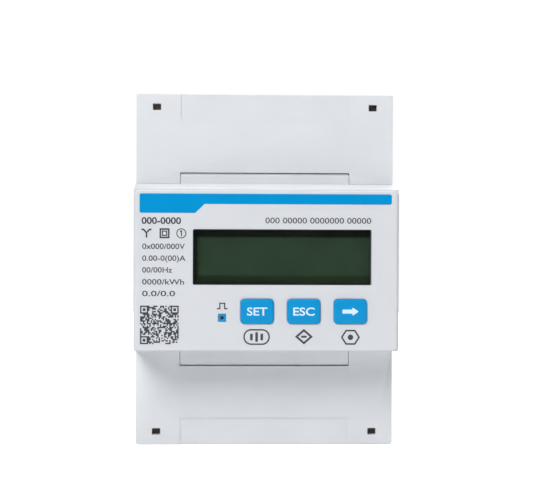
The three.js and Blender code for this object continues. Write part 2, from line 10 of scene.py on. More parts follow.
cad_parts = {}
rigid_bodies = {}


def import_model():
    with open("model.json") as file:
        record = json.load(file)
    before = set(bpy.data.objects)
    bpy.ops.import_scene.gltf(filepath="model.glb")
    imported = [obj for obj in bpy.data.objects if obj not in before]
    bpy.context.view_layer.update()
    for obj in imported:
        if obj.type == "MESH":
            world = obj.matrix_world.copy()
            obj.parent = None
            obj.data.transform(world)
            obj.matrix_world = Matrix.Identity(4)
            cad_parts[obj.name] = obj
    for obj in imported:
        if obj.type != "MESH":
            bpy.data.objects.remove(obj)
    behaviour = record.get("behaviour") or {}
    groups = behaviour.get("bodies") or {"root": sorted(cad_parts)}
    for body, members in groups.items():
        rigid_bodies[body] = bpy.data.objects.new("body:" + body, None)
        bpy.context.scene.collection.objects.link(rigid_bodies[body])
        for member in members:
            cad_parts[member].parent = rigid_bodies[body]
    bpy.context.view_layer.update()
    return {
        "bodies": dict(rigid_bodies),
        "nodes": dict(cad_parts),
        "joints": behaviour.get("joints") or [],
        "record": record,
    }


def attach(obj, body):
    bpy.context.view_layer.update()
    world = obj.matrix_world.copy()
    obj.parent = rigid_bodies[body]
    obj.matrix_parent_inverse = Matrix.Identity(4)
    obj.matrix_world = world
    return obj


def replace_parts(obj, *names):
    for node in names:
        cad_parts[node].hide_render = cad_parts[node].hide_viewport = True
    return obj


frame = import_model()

MM = 0.001
NODES = frame["nodes"]
Y_FACE = -59.5
Y_COVER = -42.5


# ------------------------------------------------------------------ materials
def srgb(r, g, b):
    """Display values 0 to 255 as linear numbers."""
    out = []
    for c in (r, g, b):
        c = c / 255.0
        out.append(c / 12.92 if c <= 0.04045 else ((c + 0.055) / 1.055) ** 2.4)
    return (*out, 1.0)


def scaled(c, k):
    return (min(1, c[0] * k), min(1, c[1] * k), min(1, c[2] * k), 1.0)


def new_material(name):
    m = bpy.data.materials.new(name)
    m.use_nodes = True
    nt = m.node_tree
    bsdf = nt.nodes["Principled BSDF"]
    tc = nt.nodes.new("ShaderNodeTexCoord")
    return m, nt, bsdf, tc.outputs["Object"]


def noise(nt, vec, scale, detail=3.0, rough=0.55, stretch=None):
    if stretch:
        mp = nt.nodes.new("ShaderNodeMapping")
        mp.inputs["Scale"].default_value = stretch
        nt.links.new(vec, mp.inputs["Vector"])
        vec = mp.outputs["Vector"]
    n = nt.nodes.new("ShaderNodeTexNoise")
    n.inputs["Scale"].default_value = scale
    n.inputs["Detail"].default_value = detail
    n.inputs["Roughness"].default_value = rough
    nt.links.new(vec, n.inputs["Vector"])
    return n.outputs["Fac"]


def ramp(nt, fac, lo, hi, a=0.3, b=0.7):
    """Values lo to hi as fac goes from a to b."""
    r = nt.nodes.new("ShaderNodeMapRange")
    r.inputs["From Min"].default_value = a
    r.inputs["From Max"].default_value = b
    r.inputs["To Min"].default_value = lo
    r.inputs["To Max"].default_value = hi
    nt.links.new(fac, r.inputs["Value"])
    return r.outputs["Result"]


def mix(nt, fac, c1, c2):
    m = nt.nodes.new("ShaderNodeMix")
    m.data_type = "RGBA"
    nt.links.new(fac, m.inputs["Factor"])
    for socket, c in ((m.inputs[6], c1), (m.inputs[7], c2)):
        if hasattr(c, "links"):
            nt.links.new(c, socket)
        else:
            socket.default_value = c
    return m.outputs[2]


def bump(nt, bsdf, height, strength, distance):
    b = nt.nodes.new("ShaderNodeBump")
    b.inputs["Strength"].default_value = strength
    b.inputs["Distance"].default_value = distance
    nt.links.new(height, b.inputs["Height"])
    nt.links.new(b.outputs["Normal"], bsdf.inputs["Normal"])
    return b


def plastic(name, colour, rough=0.5, spread=0.06, tint=0.05, grain=0.25, depth=0.02, strength=0.25, specular=0.4, coat=0.0, mottle=12.0):
    """Moulded plastic: a fine spark-eroded grain of `grain` mm, cloudy colour of `mottle` mm and uneven gloss."""
    m, nt, bsdf, vec = new_material(name)
    cloud = noise(nt, vec, 1000.0 / mottle, 4.0)
    fine = noise(nt, vec, 1000.0 / grain, 2.0)
    base = mix(nt, ramp(nt, cloud, 0.0, 1.0), scaled(colour, 1 - tint), scaled(colour, 1 + tint * 0.6))
    speck = mix(nt, ramp(nt, fine, 0.0, 0.25, 0.55, 0.8), base, scaled(colour, 0.9))
    nt.links.new(speck, bsdf.inputs["Base Color"])
    nt.links.new(ramp(nt, cloud, rough - spread, rough + spread), bsdf.inputs["Roughness"])
    bsdf.inputs["Specular IOR Level"].default_value = specular
    bsdf.inputs["Coat Weight"].default_value = coat
    bump(nt, bsdf, fine, strength, depth * MM)
    return m


def metal(name, colour, rough=0.3, direction=(1, 1, 1), scratch=900.0, tint=0.12, strength=0.12):
    """Metal with fine drawn lines along one axis and patches of handling."""
    m, nt, bsdf, vec = new_material(name)
    lines = noise(nt, vec, scratch, 2.0, 0.6, direction)
    cloud = noise(nt, vec, 260.0, 4.0)
    base = mix(nt, ramp(nt, cloud, 0.0, 1.0), scaled(colour, 1 - tint), scaled(colour, 1 + tint * 0.5))
    nt.links.new(base, bsdf.inputs["Base Color"])
    bsdf.inputs["Metallic"].default_value = 1.0
    nt.links.new(ramp(nt, lines, rough - 0.08, rough + 0.12), bsdf.inputs["Roughness"])
    bump(nt, bsdf, lines, strength, 0.01 * MM)
    return m


def printed(name, colour, rough=0.45, tint=0.06, specular=0.3):
    """Pad-printed ink: slightly uneven cover and gloss."""
    m, nt, bsdf, vec = new_material(name)
    cover = noise(nt, vec, 3500.0, 3.0)
    cloud = noise(nt, vec, 120.0, 2.0)
    base = mix(nt, ramp(nt, cover, 0.0, 1.0, 0.35, 0.75), colour, scaled(colour, 1 + 3 * tint))
    nt.links.new(mix(nt, ramp(nt, cloud, 0.0, 1.0), base, scaled(colour, 1 - tint)), bsdf.inputs["Base Color"])
    nt.links.new(ramp(nt, cover, rough - 0.05, rough + 0.1), bsdf.inputs["Roughness"])
    bsdf.inputs["Specular IOR Level"].default_value = specular
    bump(nt, bsdf, cover, 0.1, 0.004 * MM)
    return m


HOUSING = (0.722, 0.742, 0.772, 1.0)
MAT = {
    "housing": plastic("housing_plastic", HOUSING, 0.5, tint=0.025, strength=0.2),
    "cover": plastic("cover_plastic", HOUSING, 0.5, tint=0.025, strength=0.2),
    "face": plastic("face_plastic", (0.672, 0.690, 0.722, 1.0), 0.42, spread=0.04, tint=0.015, strength=0.12),
    "block": plastic("terminal_plastic", srgb(205, 209, 214), 0.55, tint=0.07, strength=0.35),
    "signal": plastic("signal_plastic", srgb(40, 128, 72), 0.4, tint=0.12),
    "latch": plastic("latch_plastic", srgb(196, 200, 206), 0.42, tint=0.06),
    "key": plastic("key_plastic", srgb(0, 146, 208), 0.45, spread=0.04, tint=0.02, grain=0.2, strength=0.08, specular=0.16, coat=0.05),
    "dark": plastic("dark_plastic", srgb(38, 38, 42), 0.45, tint=0.2),
    "frame": plastic("lcd_frame_plastic", srgb(22, 24, 26), 0.5, tint=0.2),
    "socket": plastic("seal_socket_brown", srgb(112, 90, 74), 0.5, tint=0.25, grain=0.4),
    # darker copy of the seal socket brown: painted shade for the inserts that sit deeper in shadow
    "socket_shaded": plastic("seal_socket_brown_shaded", srgb(78, 66, 58), 0.5, tint=0.25, grain=0.4),
    "ink": printed("dark_ink", srgb(66, 70, 78)),
    "blue": printed("blue_ink", srgb(0, 145, 208), 0.55, tint=0.02, specular=0.05),
    "white": printed("white_ink", srgb(214, 232, 244), 0.45, tint=0.02),
    "steel": metal("plated_steel", (0.60, 0.61, 0.63, 1), 0.30),
    "brass": metal("cage_brass", (0.76, 0.60, 0.28, 1), 0.32, (1, 8, 1)),
    "copper": metal("busbar_copper", (0.74, 0.36, 0.20, 1), 0.30, (8, 8, 0.6)),
    "spring": metal("spring_steel", (0.50, 0.50, 0.50, 1), 0.28),
    "core": metal("core_laminations", (0.16, 0.16, 0.17, 1), 0.45, (1, 30, 1), 400.0),
    "sleeve": plastic("capacitor_sleeve", srgb(24, 34, 66), 0.25, tint=0.15, coat=0.3),
    "case": plastic("coil_case", srgb(34, 66, 140), 0.35, tint=0.12),
    "led": plastic("led_lens", srgb(120, 20, 22), 0.15, tint=0.1, coat=0.5),
    "pipe": plastic("pipe_plastic", srgb(8, 146, 206), 0.25, tint=0.05, coat=0.2, grain=0.5, strength=0.02),
    "guide": plastic("light_guide", srgb(226, 230, 226), 0.3, tint=0.03, coat=0.2),
}


def board_material():
    m, nt, bsdf, vec = new_material("circuit_board")
    tracks = nt.nodes.new("ShaderNodeTexBrick")
    tracks.inputs["Scale"].default_value = 420.0
    tracks.inputs["Color1"].default_value = (0.012, 0.12, 0.045, 1)
    tracks.inputs["Color2"].default_value = (0.015, 0.15, 0.055, 1)
    tracks.inputs["Mortar"].default_value = (0.03, 0.22, 0.09, 1)
    tracks.inputs["Mortar Size"].default_value = 0.05
    nt.links.new(vec, tracks.inputs["Vector"])
    nt.links.new(mix(nt, ramp(nt, noise(nt, vec, 300.0), 0.0, 0.5), tracks.outputs["Color"], (0.01, 0.10, 0.04, 1)), bsdf.inputs["Base Color"])
    nt.links.new(ramp(nt, noise(nt, vec, 900.0), 0.3, 0.45), bsdf.inputs["Roughness"])
    bump(nt, bsdf, tracks.outputs["Fac"], 0.2, 0.03 * MM)
    return m


MAT["board"] = board_material()


def lcd_material():
    """Unlit reflective display: dark olive, with painted shade: darker bands along the bottom, left and top borders,
    where its frame and the window's recess shade it.
    """
    m, nt, bsdf, vec = new_material("lcd_glass")
    sep = nt.nodes.new("ShaderNodeSeparateXYZ")
    nt.links.new(vec, sep.inputs["Vector"])
    cloud = noise(nt, vec, 90.0, 2.0)
    fine = noise(nt, vec, 2600.0, 2.0)
    middle = mix(nt, ramp(nt, cloud, 0.0, 1.0), (0.030, 0.056, 0.033, 1), (0.036, 0.064, 0.039, 1))
    # painted shade: darker bands along the bottom, left and top borders stand in for the shadow of the window's recess
    low = ramp(nt, sep.outputs["Z"], 0.0, 1.0, -1.7 * MM, -1.1 * MM)
    c = mix(nt, low, (0.019, 0.034, 0.018, 1), middle)
    left = ramp(nt, sep.outputs["X"], 0.0, 1.0, -18.9 * MM, -18.4 * MM)
    c = mix(nt, left, (0.014, 0.025, 0.015, 1), c)
    high = ramp(nt, sep.outputs["Z"], 0.0, 1.0, 8.8 * MM, 9.3 * MM)
    c = mix(nt, high, c, (0.006, 0.012, 0.007, 1))
    nt.links.new(c, bsdf.inputs["Base Color"])
    nt.links.new(ramp(nt, fine, 0.42, 0.5), bsdf.inputs["Roughness"])
    bsdf.inputs["Specular IOR Level"].default_value = 0.12
    bump(nt, bsdf, fine, 0.04, 0.004 * MM)
    return m


def pane_material():
    """Clear moulded pane with a trace of handling on it."""
    m, nt, bsdf, vec = new_material("window_pane")
    bsdf.inputs["Base Color"].default_value = (0.93, 0.97, 0.93, 1)
    bsdf.inputs["Transmission Weight"].default_value = 1.0
    bsdf.inputs["IOR"].default_value = 1.18
    nt.links.new(ramp(nt, noise(nt, vec, 220.0, 5.0), 0.02, 0.08, 0.45, 0.8), bsdf.inputs["Roughness"])
    return m


MAT["lcd"] = lcd_material()
MAT["pane"] = pane_material()


# ------------------------------------------------------------------ mesh helpers
def obj_from(name, mesh, material):
    o = bpy.data.objects.new(name, mesh)
    bpy.context.scene.collection.objects.link(o)
    mesh.materials.clear()
    mesh.materials.append(material)
    return o


def rounded(x0, x1, z0, z1, r, n=8):
    out = []
    for cx, cz, a0 in ((x1 - r, z1 - r, 0), (x0 + r, z1 - r, 90), (x0 + r, z0 + r, 180), (x1 - r, z0 + r, 270)):
        for i in range(n + 1):
            a = math.radians(a0 + 90.0 * i / n)
            out.append((cx + r * math.cos(a), cz + r * math.sin(a)))
    return out


def circle(cx, cz, r, n=24):
    return [(cx + r * math.cos(2 * math.pi * i / n), cz + r * math.sin(2 * math.pi * i / n)) for i in range(n)]


def weld(bm, d=1e-7):
    bmesh.ops.remove_doubles(bm, verts=bm.verts, dist=d)


def loft(name, layers, material, smooth=True):
    """Outlines in (x, z) with equal point counts, each at its own y, in mm, skinned and closed."""
    bm = bmesh.new()
    rings = [[bm.verts.new((x * MM, y * MM, z * MM)) for x, z in pts] for pts, y in layers]
    n = len(rings[0])
    for a, b in zip(rings, rings[1:]):
        for i in range(n):
            bm.faces.new((a[i], a[(i + 1) % n], b[(i + 1) % n], b[i]))
    bm.faces.new(rings[0][::-1])
    bm.faces.new(rings[-1])
    bmesh.ops.recalc_face_normals(bm, faces=bm.faces)
    me = bpy.data.meshes.new(name)
    bm.to_mesh(me)
    bm.free()
    o = obj_from(name, me, material)
    return o


def sheet_of(name, loops, y, thick, material, bevel=0.0, offset=0.0):
    """Closed outlines in (x, z) as one flat layer, from y (front) back by thick, all in mm. Inner outlines cut holes."""
    cu = bpy.data.curves.new(name, "CURVE")
    cu.dimensions = "2D"
    cu.fill_mode = "BOTH"
    cu.extrude = max(0.0, thick / 2 - bevel) * MM
    cu.bevel_depth = bevel * MM
    cu.bevel_resolution = 3
    cu.offset = (-bevel + offset) * MM
    for loop in loops:
        sp = cu.splines.new("POLY")
        sp.points.add(len(loop) - 1)
        for p, (x, z) in zip(sp.points, loop):
            p.co = (x * MM, z * MM, 0, 1)
        sp.use_cyclic_u = True
    tmp = bpy.data.objects.new(name + "_tmp", cu)
    bpy.context.scene.collection.objects.link(tmp)
    bpy.context.view_layer.update()
    me = bpy.data.meshes.new_from_object(tmp.evaluated_get(bpy.context.evaluated_depsgraph_get()))
    bpy.data.objects.remove(tmp)
    me.transform(Matrix.Rotation(math.pi / 2, 4, "X"))
    me.transform(Matrix.Translation((0, (y + thick / 2) * MM, 0)))
    bm = bmesh.new()
    bm.from_mesh(me)
    weld(bm)
    bmesh.ops.recalc_face_normals(bm, faces=bm.faces)
    bm.to_mesh(me)
    bm.free()
    me.name = name
    return obj_from(name, me, material)


def text_mesh(body, size, x, z, y, thick, align="LEFT", bold=0.0, spacing=1.0, squeeze=1.0):
    cu = bpy.data.curves.new("text", "FONT")
    cu.body = body
    cu.size = size * MM
    cu.align_x = align
    cu.extrude = thick / 2 * MM
    cu.offset = bold * MM
    cu.space_character = spacing
    cu.resolution_u = 4
    tmp = bpy.data.objects.new("text_tmp", cu)
    bpy.context.scene.collection.objects.link(tmp)
    bpy.context.view_layer.update()
    me = bpy.data.meshes.new_from_object(tmp.evaluated_get(bpy.context.evaluated_depsgraph_get()))
    bpy.data.objects.remove(tmp)
    me.transform(Matrix.Diagonal((squeeze, 1, 1, 1)))
    me.transform(Matrix.Rotation(math.pi / 2, 4, "X"))
    me.transform(Matrix.Translation((x * MM, (y + thick / 2) * MM, z * MM)))
    return me


def fit_text(body, height, width, x, z, y, thick, align="LEFT", bold=0.0):
    """Text whose capitals are `height` mm tall, squeezed to `width` mm, its baseline at z."""
    me = text_mesh(body, height / 0.70, 0, 0, 0, thick, "LEFT", bold)
    xs = [v.co.x for v in me.vertices]
    lo, hi = min(xs), max(xs)
    k = width * MM / (hi - lo)
    shift = {"LEFT": 0.0, "CENTER": -width / 2, "RIGHT": -width}[align] * MM
    for v in me.vertices:
        v.co.x = (v.co.x - lo) * k + shift + x * MM
        v.co.z += z * MM
        v.co.y += y * MM
    return me


def joined(name, parts, material):
    """Several meshes or objects as one piece."""
    bm = bmesh.new()
    for p in parts:
        me = p if isinstance(p, bpy.types.Mesh) else p.data
        bm.from_mesh(me)
        if not isinstance(p, bpy.types.Mesh):
            bpy.data.objects.remove(p)
    weld(bm)
    bmesh.ops.recalc_face_normals(bm, faces=bm.faces)
    me = bpy.data.meshes.new(name)
    bm.to_mesh(me)
    bm.free()
    return obj_from(name, me, material)


def box_mesh(bm, x0, x1, y0, y1, z0, z1):
    vs = [bm.verts.new((x * MM, y * MM, z * MM)) for x in (x0, x1) for y in (y0, y1) for z in (z0, z1)]
    for f in ((0, 1, 3, 2), (4, 6, 7, 5), (0, 4, 5, 1), (2, 3, 7, 6), (0, 2, 6, 4), (1, 5, 7, 3)):
        bm.faces.new([vs[i] for i in f])


def boxes(name, items, material):
    bm = bmesh.new()
    for it in items:
        box_mesh(bm, *it)
    bmesh.ops.recalc_face_normals(bm, faces=bm.faces)
    me = bpy.data.meshes.new(name)
    bm.to_mesh(me)
    bm.free()
    return obj_from(name, me, material)


def soften(o, width, segments=3, angle=28.0, dissolve=True):
    """Rounded moulded edges."""
    if dissolve:
        w = o.modifiers.new("weld", "WELD")
        w.merge_threshold = 1e-6
        d = o.modifiers.new("planes", "DECIMATE")
        d.decimate_type = "DISSOLVE"
        d.angle_limit = math.radians(0.6)
    b = o.modifiers.new("edges", "BEVEL")
    b.width = width * MM
    b.segments = segments
    b.limit_method = "ANGLE"
    b.angle_limit = math.radians(angle)
    b.use_clamp_overlap = True
    b.miter_outer = "MITER_ARC"
    n = o.modifiers.new("normals", "WEIGHTED_NORMAL")
    n.keep_sharp = True
    for f in o.data.polygons:
        f.use_smooth = True
    return o


def cut(o, *cutters):
    for c in cutters:
        m = o.modifiers.new("cut", "BOOLEAN")
        m.operation = "DIFFERENCE"
        m.solver = "EXACT"
        m.object = c
        bpy.context.view_layer.update()
        me = bpy.data.meshes.new_from_object(o.evaluated_get(bpy.context.evaluated_depsgraph_get()))
        o.modifiers.clear()
        old = o.data
        mats = [x for x in old.materials]
        o.data = me
        me.materials.clear()
        for x in mats[:1]:
            me.materials.append(x)
        bpy.data.meshes.remove(old)
        bpy.data.objects.remove(c)
    return o


def auto_smooth(o, angle=30.0):
    for f in o.data.polygons:
        f.use_smooth = True
    m = o.data
    m.set_sharp_from_angle(angle=math.radians(angle))
    return o


# ------------------------------------------------------------------ CAD nodes: finish and soft edges
def dress(name, key, width=None, segments=3, angle=28.0):
    o = NODES[name]
    o.data.materials.clear()
    o.data.materials.append(MAT[key])
    if width:
        soften(o, width, segments, angle)
    return o


dress("base_housing", "housing", 0.35)
dress("main_housing", "housing", 0.3)
auto_smooth(dress("upper_terminal_block", "block"), 40)
auto_smooth(dress("lower_terminal_block", "block"), 40)
dress("din_latch", "latch", 0.3)
dress("latch_spring", "spring")
dress("signal_terminal_block", "signal", 0.15)
dress("display_board", "board", 0.05, 2)
dress("meter_board", "board", 0.05, 2)
dress("power_transformer", "core", 0.15, 2)
dress("supply_capacitor", "sleeve", 0.15, 2, 40)
dress("board_link_header", "dark", 0.08, 2)
dress("lcd_frame", "frame", 0.1, 2)
dress("backlight_guide", "guide", 0.1, 2)
dress("display_window", "pane", 0.1, 2)
dress("lcd_glass", "lcd", 0.1, 2)
dress("pulse_led", "led", 0.05, 2)
for i in range(1, 5):
    dress("housing_screw_%d" % i, "steel", 0.08, 2, 40)
    dress("signal_screw_%d" % i, "steel", 0.06, 2, 40)
    for side in ("upper", "lower"):
        dress("%s_clamp_screw_%d" % (side, i), "steel", 0.12, 3, 40)
        dress("%s_clamp_cage_%d" % (side, i), "brass", 0.2, 3)
for i in range(1, 4):
    dress("phase_busbar_%d" % i, "copper", 0.2, 2)
    dress("current_transformer_%d" % i, "case", 0.15, 2, 40)
dress("neutral_busbar", "copper", 0.2, 2)
for n in ("set", "escape", "scroll"):
    dress(n + "_switch_plunger", "dark", 0.08, 2, 40)


# ------------------------------------------------------------------ front panel
NOSE_SLOPE = (24.0 - 21.85) / 17.0
WINDOW = (-20.0, 28.5, -3.9, 11.2)
KEY_X = (-2.56, 10.1, 22.76)
KEY_Z = -11.0
LED = (-12.04, -12.76)


def nose_z(y):
    return 24.0 - NOSE_SLOPE * max(0.0, Y_COVER - y)


def nose_low(y):
    return 22.9 - (22.9 - 21.85) / 17.0 * max(0.0, Y_COVER - y)


def face_panel():
    def outline(dx, dz, y):
        return rounded(-36 + dx, 36 - dx, -nose_low(y) + dz, nose_z(y) - dz, 1.25, 10)

    # rounded front edges, wider at the sides, and a shallow groove where the panel meets the housing
    layers = []
    for i in range(9):
        a = math.radians(90 * i / 8)
        y = Y_FACE + 0.5 * (1 - math.sin(a))
        k = 1 - math.cos(a)
        layers.append((outline(0.3 + 0.8 * k, 0.15 + 0.3 * k, y), y))
    layers = sorted(layers, key=lambda l: l[1])
    layers += [(outline(0.3, 0.15, -58.9), -58.9), (outline(0.5, 0.4, -58.86), -58.86), (outline(0.5, 0.4, -58.5), -58.5), (outline(0.05, 0.02, -58.46), -58.46),
               (outline(0, 0, -58.35), -58.35), (outline(0, 0, -57.7), -57.7), (outline(0.12, 0.12, -57.66), -57.66), (outline(0.12, 0.12, -57.32), -57.32)]
    o = loft("face_shell", layers, MAT["face"])
    w = WINDOW
    holes = [rounded(w[0], w[1], w[2], w[3], 0.4, 4)]
    for x in KEY_X:
        holes.append(rounded(x - 4.71, x + 4.71, KEY_Z - 3.54, KEY_Z + 3.54, 1.28, 8))
    holes.append(rounded(LED[0] - 1.1, LED[0] + 1.1, LED[1] - 1.1, LED[1] + 1.1, 0.25, 4))
    cutters = []
    for h in holes:
        c = loft("cutter", [(h, -62), (h, -55)], MAT["face"])
        cutters.append(c)
    cut(o, *cutters)
    soften(o, 0.12, 3, 40, dissolve=False)
    # locating rim behind
    rim = sheet_of("face_rim", [rounded(-33.7, 33.7, -19.9, 19.9, 0.6, 4), rounded(-32.5, 32.5, -18.7, 18.7, 0.6, 4)], -57.45, 2.2, MAT["face"], 0.1)
    return o, rim


face, rim = face_panel()
# thin frames of the panel that narrow the play round each key
for n, x in zip(("set", "escape", "scroll"), KEY_X):
    frame = sheet_of(n + "_key_frame", [rounded(x - 4.73, x + 4.73, KEY_Z - 3.56, KEY_Z + 3.56, 1.3, 8), rounded(x - 4.575, x + 4.575, KEY_Z - 3.405, KEY_Z + 3.405, 1.16, 8)[::-1]], Y_FACE + 0.1, 0.6, MAT["face"])
    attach(frame, "housing")
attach(face, "housing")
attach(rim, "housing")
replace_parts(face, "face_panel")


# ------------------------------------------------------------------ terminal covers
def united(o, *others):
    for c in others:
        m = o.modifiers.new("join", "BOOLEAN")
        m.operation = "UNION"
        m.solver = "EXACT"
        m.object = c
        apply_all(o)
        bpy.data.objects.remove(c)
    return o


def apply_all(o):
    bpy.context.view_layer.update()
    me = bpy.data.meshes.new_from_object(o.evaluated_get(bpy.context.evaluated_depsgraph_get()))
    o.modifiers.clear()
    old, mat = o.data, o.data.materials[0]
    o.data = me
    me.materials.clear()
    me.materials.append(mat)
    bpy.data.meshes.remove(old)
    return o


def edge(o, width, segments, angle, skip=None):
    """Rounds the edges sharper than `angle`, except those that skip(a, b) names by its ends in mm."""
    bm = bmesh.new()
    bm.from_mesh(o.data)
    weld(bm, 2e-7)
    bmesh.ops.dissolve_degenerate(bm, dist=1e-7, edges=bm.edges)
    chosen = []
    for e in bm.edges:
        if len(e.link_faces) != 2 or e.calc_face_angle(0.0) < math.radians(angle):
            continue
        if skip and skip(e.verts[0].co / MM, e.verts[1].co / MM):
            continue
        chosen.append(e)
    bmesh.ops.bevel(bm, geom=chosen, offset=width * MM, offset_type="OFFSET", segments=segments, profile=0.5, affect="EDGES", clamp_overlap=True, miter_outer="ARC")
    weld(bm, 2e-7)
    bmesh.ops.recalc_face_normals(bm, faces=bm.faces)
    bm.to_mesh(o.data)
    bm.free()
    return o


def bar_x(name, x0, x1, y, z, r, material, n=24):
    """A round bar along X."""
    bm = bmesh.new()
    bmesh.ops.create_cone(bm, cap_ends=True, segments=n, radius1=r * MM, radius2=r * MM, depth=(x1 - x0) * MM)
    me = bpy.data.meshes.new(name)
    bm.to_mesh(me)
    bm.free()
    me.transform(Matrix.Rotation(math.pi / 2, 4, "Y"))
    me.transform(Matrix.Translation(((x0 + x1) / 2 * MM, y * MM, z * MM)))
    return obj_from(name, me, material)


def cover(name, s, ear, slot):
    """Drawn with z upwards from the hinge; s = -1 turns it over for the lower side."""
    m = MAT["cover"]
    zz = lambda pts: [(x, s * z) for x, z in pts]
    outline = arc_corner(
        [(-36, 49), (-36, ear), (-23.74, ear), (-23.74, 27.15), (23.74, 27.15), (23.74, ear), (36, ear), (36, 49)],
        [0.6, 0.1, 0.05, 0.3, 0.3, 0.05, 0.1, 0.6], 4)
    o = loft(name + "_shell", [(zz(outline), -42.5), (zz(outline), -40.5)], m)
    z0, z1 = sorted((s * 47, s * 49))
    wall = loft("wall", [(rounded(-36, 36, z0, z1, 0.6, 4), -42.0), (rounded(-36, 36, z0, z1, 0.6, 4), -26.0)], m)
    united(o, wall)
    inner_edge = lambda a, b: max(abs(a.z), abs(b.z)) < ear + 0.12 or (max(abs(a.z), abs(b.z)) < 27.6 and max(abs(a.x), abs(b.x)) < 24.3)
    edge(o, 0.32, 4, 50, inner_edge)
    edge(o, 0.1, 3, 60, lambda a, b: max(abs(a.z), abs(b.z)) < ear + 0.12)
    parts = []
    for k in (-1, 1):
        x0, x1 = sorted((k * 12.4, k * 13.6))
        z0, z1 = sorted((s * 29, s * 47.3))
        parts.append(boxes("rib", [(x0, x1, -40.8, -39.6, z0, z1)], m))
        x0, x1 = sorted((k * 21.2, k * 24.6))
        parts.append(bar_x("pin", x0, x1, -41.1, s * 25.6, 0.59, m))
    united(o, *parts)
    cuts = []
    for k in (-1, 1):
        cx, cz = k * 30.3, s * 45.5
        cuts.append(loft("cut", [(rounded(cx - 1.16, cx + 1.16, cz - 0.92, cz + 0.92, 0.18, 3), -44), (rounded(cx - 1.16, cx + 1.16, cz - 0.92, cz + 0.92, 0.18, 3), -39)], m))
    z0, z1 = sorted((s * 41.7, s * 50))
    cuts.append(loft("cut", [(rounded(-23.6, 23.6, z0, z1, 0.5, 4), -44), (rounded(-23.6, 23.6, z0, z1, 0.5, 4), -42.25)], m))
    if slot:
        z0, z1 = sorted((s * 46, s * 50))
        cuts.append(boxes("cut", [(-10.3, 10.3, -40.5, -36, z0, z1)], m))
    cut(o, *cuts)
    edge(o, 0.07, 2, 52)
    auto_smooth(o, 32)
    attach(o, name)
    return o


def arc_corner(points, radii, n=5):
    """A closed outline with each corner rounded by its own radius."""
    out = []
    m = len(points)
    for i, (p, r) in enumerate(zip(points, radii)):
        a, b = Vector(points[i - 1]), Vector(points[(i + 1) % m])
        p = Vector(p)
        if r <= 0:
            out.append((p.x, p.y))
            continue
        u, v = (a - p).normalized(), (b - p).normalized()
        half = u.angle(v) / 2
        d = r / math.tan(half)
        s, e = p + u * d, p + v * d
        for k in range(n + 1):
            t = k / n
            q = (1 - t) ** 2 * s + 2 * t * (1 - t) * p + t ** 2 * e
            out.append((q.x, q.y))
    return out


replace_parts(cover("top_cover", 1, 24.04, False), "top_terminal_cover")
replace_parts(cover("bottom_cover", -1, 22.94, True), "bottom_terminal_cover")
# beads of the housing that fill most of the gap under each cover's inner edge
for s, side in ((1, "upper"), (-1, "lower")):
    z0, z1 = sorted((s * 26.4, s * 26.94))
    bead = boxes(side + "_land_bead", [(-23.55, 23.55, -41.9, -40.9, z0, z1)], MAT["housing"])
    edge(bead, 0.08, 2, 60)
    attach(bead, "housing")


# ------------------------------------------------------------------ print
INK_Y = Y_FACE - 0.03
INK_T = 0.045
pieces_print = []


def ink(name, loops, key="ink", y=INK_Y, thick=INK_T):
    o = sheet_of(name, loops, y, thick, MAT[key])
    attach(o, "housing")
    pieces_print.append(o)
    return o


band = arc_corner(
    [(-34.4, 20.8), (-34.4, 15.55), (-19.4, 15.55), (-16.85, 18.0), (33.95, 18.0), (33.95, 20.8)],
    [0.6, 0.6, 0.4, 0.4, 0.6, 0.6],
)
ink("blue_band", [band], "blue")


def rows():
    """Rating rows as placeholders: zeros in place of values, with unit symbols."""
    left = -33.65
    out = []
    for body, z, w, h in (
        ("0x000/000V", 6.54, 11.5, 1.45),
        ("0.00-0(00)A", 3.33, 11.7, 1.45),
        ("00/00Hz", 0.17, 8.06, 1.45),
        ("0000/kWh", -3.07, 11.3, 1.45),
        ("0.0/0.0", -6.22, 8.9, 1.45),
    ):
        out.append(fit_text(body, h, w, left, z - h / 2, INK_Y, INK_T, bold=0.02))
    return out


rating = joined("rating_rows", rows(), MAT["ink"])
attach(rating, "housing")


def figures(name, body, x0, x1, z0, h, bold):
    """A line of zeros where the object carries its type and title."""
    o = joined(name, [fit_text(body, h, x1 - x0, x0, z0, INK_Y, INK_T, bold=bold)], MAT["ink"])
    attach(o, "housing")
    return o


figures("type_line", "000-0000", -33.85, -23.2, 12.6, 1.76, 0.06)
figures("title_line", "000 00000 0000000 00000", -0.4, 28.33, 12.85, 1.55, 0.015)


def stroke(points, w, closed=False):
    """A polyline widened to w, as one outline (open) or two (closed)."""
    pts = [Vector(p) for p in points]
    n = len(pts)
    left, right = [], []
    for i, p in enumerate(pts):
        a = pts[i - 1] if (closed or i > 0) else None
        b = pts[(i + 1) % n] if (closed or i < n - 1) else None
        if a is None:
            d = (b - p).normalized()
            nrm, k = Vector((-d.y, d.x)), 1.0
        elif b is None:
            d = (p - a).normalized()
            nrm, k = Vector((-d.y, d.x)), 1.0
        else:
            d1, d2 = (p - a).normalized(), (b - p).normalized()
            n1, n2 = Vector((-d1.y, d1.x)), Vector((-d2.y, d2.x))
            nrm = (n1 + n2).normalized()
            k = 1.0 / max(0.3, nrm.dot(n1))
        left.append(p + nrm * (w / 2 * k))
        right.append(p - nrm * (w / 2 * k))
    if closed:
        return [[(p.x, p.y) for p in left], [(p.x, p.y) for p in right][::-1]]
    return [[(p.x, p.y) for p in left + right[::-1]]]


